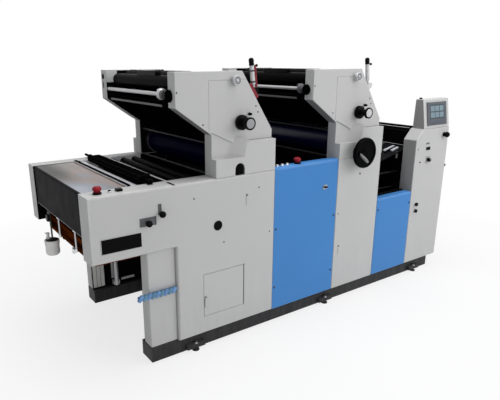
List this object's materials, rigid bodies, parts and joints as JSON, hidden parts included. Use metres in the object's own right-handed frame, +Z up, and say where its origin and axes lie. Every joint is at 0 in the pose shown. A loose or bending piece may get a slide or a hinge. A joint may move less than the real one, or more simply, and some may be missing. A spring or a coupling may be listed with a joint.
{
  "type": "two-colour sheet-fed printing machine for non-woven fabric",
  "caption": "Sheet-fed offset printing machine with an overhanging delivery, slanted printing units, blue side covers and a feeder column with a touch panel.",
  "frame": {"origin": "on the floor, under the middle of the machine's outline", "axes": "+X from the delivery to the feeder, -Y towards the operator at the front, +Z up"},
  "size_m": [2.957, 1.2121, 1.6482],
  "materials": {
    "white_paint": "satin powder coat",
    "blue_paint": "satin powder coat",
    "black_paint": "satin black paint",
    "bright_steel": "ground",
    "polished_plate": "polished",
    "black_rubber": "smooth",
    "dark_rubber": "smooth",
    "blue_plastic": "moulded",
    "black_plastic": "moulded",
    "pale_plastic": "moulded",
    "red_plastic": "moulded",
    "wood": "oiled"
  },
  "bodies": {
    "machine": {"base_frame": "black_paint", "levelling_feet": "black_paint", "machine_pan": "black_paint", "front_side_cover": "white_paint", "back_side_cover": "white_paint", "delivery_legs": "white_paint", "tool_rack": "blue_plastic", "delivery_end_plate": "black_paint", "delivery_table": "polished_plate", "blower_hood": "black_paint", "delivery_rollers": "black_rubber", "delivery_rods": "bright_steel", "delivery_bulkhead": "black_paint", "pile_guides": "bright_steel", "spray_bottle": "pale_plastic", "delivery_levers": "black_plastic", "stop_buttons": "red_plastic", "unit2_panels": "white_paint", "blue_mid_covers": "blue_paint", "blue_feed_covers": "blue_paint", "inner_frames": "black_paint", "feeder_columns": "white_paint", "control_box": "white_paint", "column_knobs": "black_plastic", "feeder_hood": "black_paint", "feed_board": "bright_steel", "feeder_table": "black_paint", "unit1_frames": "white_paint", "unit1_head_covers": "white_paint", "unit1_block_covers": "white_paint", "unit1_rollers": "black_rubber", "unit1_cylinders": "dark_rubber", "unit1_guard": "black_paint", "unit1_wash_rod": "bright_steel", "unit1_fittings": "bright_steel", "unit2_frames": "white_paint", "unit2_head_covers": "white_paint", "unit2_block_covers": "white_paint", "unit2_rollers": "black_rubber", "unit2_cylinders": "dark_rubber", "unit2_guard": "black_paint", "unit2_wash_rod": "bright_steel", "unit2_fittings": "bright_steel"},
    "handwheel": {"handwheel": "black_plastic"},
    "unit1_ink_knob": {"unit1_ink_knob": "black_plastic"},
    "unit2_ink_knob": {"unit2_ink_knob": "black_plastic"},
    "unit1_lever": {"unit1_lever": "bright_steel"},
    "unit2_lever": {"unit2_lever": "bright_steel"},
    "access_door": {"access_door": "white_paint"},
    "pile_lift": {"pile_carrier": "black_paint", "pile_board": "wood"}
  },
  "joints": [
    {"name": "handwheel_turn", "type": "hinge", "parent": "machine", "child": "handwheel", "pos_m": [0.4135, -0.45991, 1.052], "axis": [0, 1, 0], "continuous": true},
    {"name": "unit1_ink_knob_turn", "type": "hinge", "parent": "machine", "child": "unit1_ink_knob", "pos_m": [-0.5175, -0.45991, 1.305], "axis": [0, 1, 0], "continuous": true},
    {"name": "unit2_ink_knob_turn", "type": "hinge", "parent": "machine", "child": "unit2_ink_knob", "pos_m": [0.4395, -0.45991, 1.305], "axis": [0, 1, 0], "continuous": true},
    {"name": "unit1_lever_throw", "type": "hinge", "parent": "machine", "child": "unit1_lever", "pos_m": [-0.39792, -0.38991, 1.47138], "axis": [0, 1, 0], "range_deg": [-12, 45]},
    {"name": "unit2_lever_throw", "type": "hinge", "parent": "machine", "child": "unit2_lever", "pos_m": [0.55908, -0.38991, 1.47138], "axis": [0, 1, 0], "range_deg": [-12, 45]},
    {"name": "access_door_swing", "type": "hinge", "parent": "machine", "child": "access_door", "pos_m": [-0.5215, -0.45091, 0.337], "axis": [0, 0, 1], "range_deg": [0, 95]},
    {"name": "pile_lift_slide", "type": "slide", "parent": "machine", "child": "pile_lift", "axis": [0, 0, 1], "range_m": [-0.4, 0]}
  ]
}
